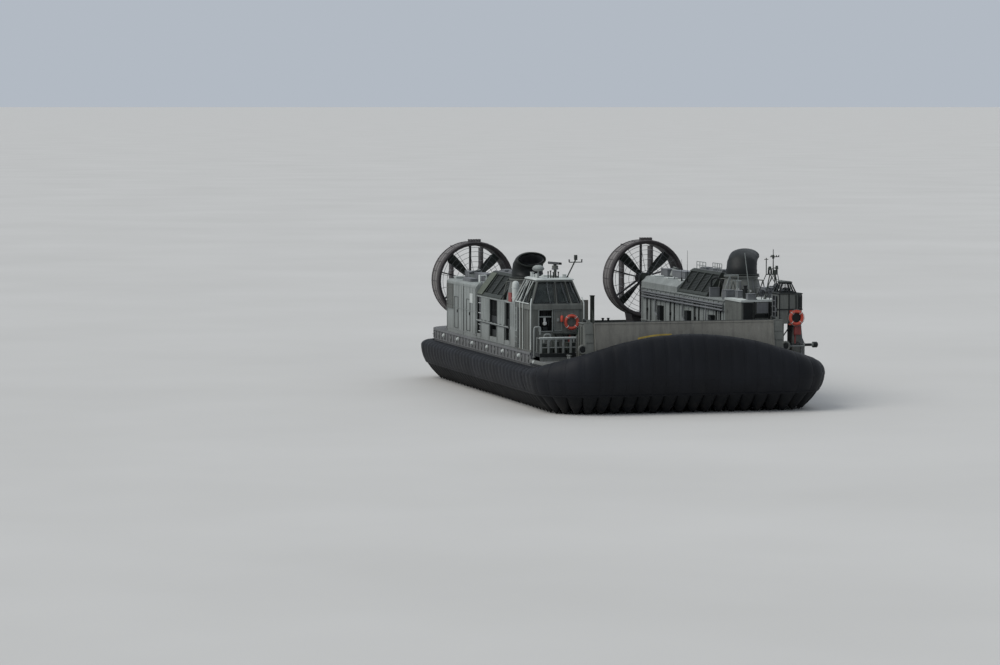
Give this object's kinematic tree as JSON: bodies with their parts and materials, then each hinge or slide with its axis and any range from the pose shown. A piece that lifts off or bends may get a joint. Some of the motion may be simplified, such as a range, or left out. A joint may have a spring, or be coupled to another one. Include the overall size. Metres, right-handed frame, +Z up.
{
  "type": "landing hovercraft",
  "caption": "Landing hovercraft with an open cargo deck, inflated skirt, shrouded stern propellers, bow thrusters and a ramp at each end.",
  "frame": {"origin": "on the ground under the middle of the craft, centred in length and beam", "axes": "+X towards the bow, +Y to port, +Z up"},
  "size_m": [26.62, 14.32, 7.38],
  "materials": {
    "hull_paint": "matte haze grey, weathered",
    "wall_paint": "matte light grey, weathered",
    "cabin_paint": "matte green grey, weathered",
    "deck_paint": "non-skid dark grey",
    "ramp_paint": "matte olive grey, scuffed",
    "skirt_rubber": "wet coated fabric",
    "finger_rubber": "worn coated fabric",
    "dark_paint": "matte dark green grey",
    "duct_paint": "matte brown grey, worn at the lip",
    "black_paint": "matte black",
    "machinery": "satin",
    "roof_paint": "matte pale grey",
    "life_ring": "satin orange",
    "glass": "tinted, glossy"
  },
  "bodies": {
    "craft": {"hull": "hull_paint", "cargo_deck": "deck_paint", "landing_skid_starboard": "machinery", "landing_skid_port": "machinery", "skirt_bag_bow": "skirt_rubber", "skirt_bow_roll": "skirt_rubber", "skirt_bag_stern": "skirt_rubber", "skirt_bag_starboard": "skirt_rubber", "skirt_bag_port": "skirt_rubber", "skirt_fingers_bow": "finger_rubber", "skirt_fingers_stern": "finger_rubber", "skirt_fingers_starboard": "finger_rubber", "skirt_fingers_port": "finger_rubber", "bow_bulwark_starboard": "cabin_paint", "bow_bulwark_port": "cabin_paint", "foredeck_rack": "wall_paint", "foredeck_arm": "wall_paint", "control_cabin_walls": "cabin_paint", "control_cabin_window_frame": "cabin_paint", "control_cabin_glass": "glass", "control_cabin_roof": "roof_paint", "port_cabin_walls": "cabin_paint", "port_cabin_roof": "roof_paint", "lookout_cab": "cabin_paint", "lookout_window_frame": "black_paint", "lookout_glass": "glass", "lookout_roof": "dark_paint", "fan_module_starboard": "wall_paint", "fan_module_port": "wall_paint", "intake_housing_starboard": "dark_paint", "intake_housing_port": "dark_paint", "engine_module_starboard": "wall_paint", "engine_module_port": "wall_paint", "gas_turbine_fore_starboard": "machinery", "gas_turbine_fore_port": "machinery", "gas_turbine_aft_starboard": "machinery", "gas_turbine_aft_port": "machinery", "duct_starboard": "duct_paint", "duct_port": "duct_paint", "thruster_base_starboard": "cabin_paint", "thruster_base_port": "cabin_paint", "radar_pedestal": "cabin_paint", "lamp_mast": "dark_paint", "dome_aerial": "wall_paint", "lattice_mast": "dark_paint", "life_ring_starboard": "life_ring", "life_ring_port": "life_ring"},
    "bow_ramp": {"bow_ramp": "ramp_paint"},
    "stern_ramp": {"stern_ramp": "ramp_paint"},
    "control_cabin_door": {"control_cabin_door": "cabin_paint"},
    "port_cabin_door": {"port_cabin_door": "cabin_paint"},
    "propeller_starboard": {"propeller_starboard": "dark_paint"},
    "propeller_port": {"propeller_port": "dark_paint"},
    "rudder_starboard_outer": {"rudder_starboard_outer": "duct_paint"},
    "rudder_starboard_inner": {"rudder_starboard_inner": "duct_paint"},
    "rudder_port_outer": {"rudder_port_outer": "duct_paint"},
    "rudder_port_inner": {"rudder_port_inner": "duct_paint"},
    "thruster_nozzle_starboard": {"thruster_nozzle_starboard": "black_paint"},
    "thruster_nozzle_port": {"thruster_nozzle_port": "black_paint"},
    "radar_scanner": {"radar_scanner": "black_paint"}
  },
  "joints": [
    {"name": "bow_ramp_hinge", "type": "hinge", "parent": "craft", "child": "bow_ramp", "pos_m": [12.15, 0, 1.95], "axis": [0, 1, 0], "range_deg": [0, 98], "deforming": ["skirt_bow_roll"]},
    {"name": "stern_ramp_hinge", "type": "hinge", "parent": "craft", "child": "stern_ramp", "pos_m": [-12.33, 0, 2.76], "axis": [0, -1, 0], "range_deg": [0, 105]},
    {"name": "control_door_hinge", "type": "hinge", "parent": "craft", "child": "control_cabin_door", "pos_m": [6.29, -3.925, 3.68], "axis": [0, 0, 1], "range_deg": [0, 110]},
    {"name": "port_door_hinge", "type": "hinge", "parent": "craft", "child": "port_cabin_door", "pos_m": [6.29, 3.925, 3.68], "axis": [0, 0, -1], "range_deg": [0, 110]},
    {"name": "propeller_spin_starboard", "type": "hinge", "parent": "craft", "child": "propeller_starboard", "pos_m": [-9.9, -4.66, 5.16], "axis": [1, 0, 0], "continuous": true},
    {"name": "propeller_spin_port", "type": "hinge", "parent": "craft", "child": "propeller_port", "pos_m": [-9.9, 4.66, 5.16], "axis": [1, 0, 0], "continuous": true},
    {"name": "rudder_turn_starboard_outer", "type": "hinge", "parent": "craft", "child": "rudder_starboard_outer", "pos_m": [-11.15, -5.46, 5.16], "axis": [0, 0, 1], "range_deg": [-30, 30]},
    {"name": "rudder_turn_starboard_inner", "type": "hinge", "parent": "craft", "child": "rudder_starboard_inner", "pos_m": [-11.15, -3.86, 5.16], "axis": [0, 0, 1], "range_deg": [-30, 30]},
    {"name": "rudder_turn_port_outer", "type": "hinge", "parent": "craft", "child": "rudder_port_outer", "pos_m": [-11.15, 5.46, 5.16], "axis": [0, 0, 1], "range_deg": [-30, 30]},
    {"name": "rudder_turn_port_inner", "type": "hinge", "parent": "craft", "child": "rudder_port_inner", "pos_m": [-11.15, 3.86, 5.16], "axis": [0, 0, 1], "range_deg": [-30, 30]},
    {"name": "thruster_turn_starboard", "type": "hinge", "parent": "craft", "child": "thruster_nozzle_starboard", "pos_m": [3.94, -5.45, 5.95], "axis": [0, 0, 1], "continuous": true},
    {"name": "thruster_turn_port", "type": "hinge", "parent": "craft", "child": "thruster_nozzle_port", "pos_m": [3.94, 5.45, 5.95], "axis": [0, 0, 1], "continuous": true},
    {"name": "radar_spin", "type": "hinge", "parent": "craft", "child": "radar_scanner", "pos_m": [7.5, -5.05, 6.71], "axis": [0, 0, 1], "continuous": true}
  ],
  "couplings": [
    {"joint": "rudder_turn_starboard_inner", "follows": "rudder_turn_starboard_outer", "ratio": 1},
    {"joint": "rudder_turn_port_inner", "follows": "rudder_turn_port_outer", "ratio": 1}
  ]
}
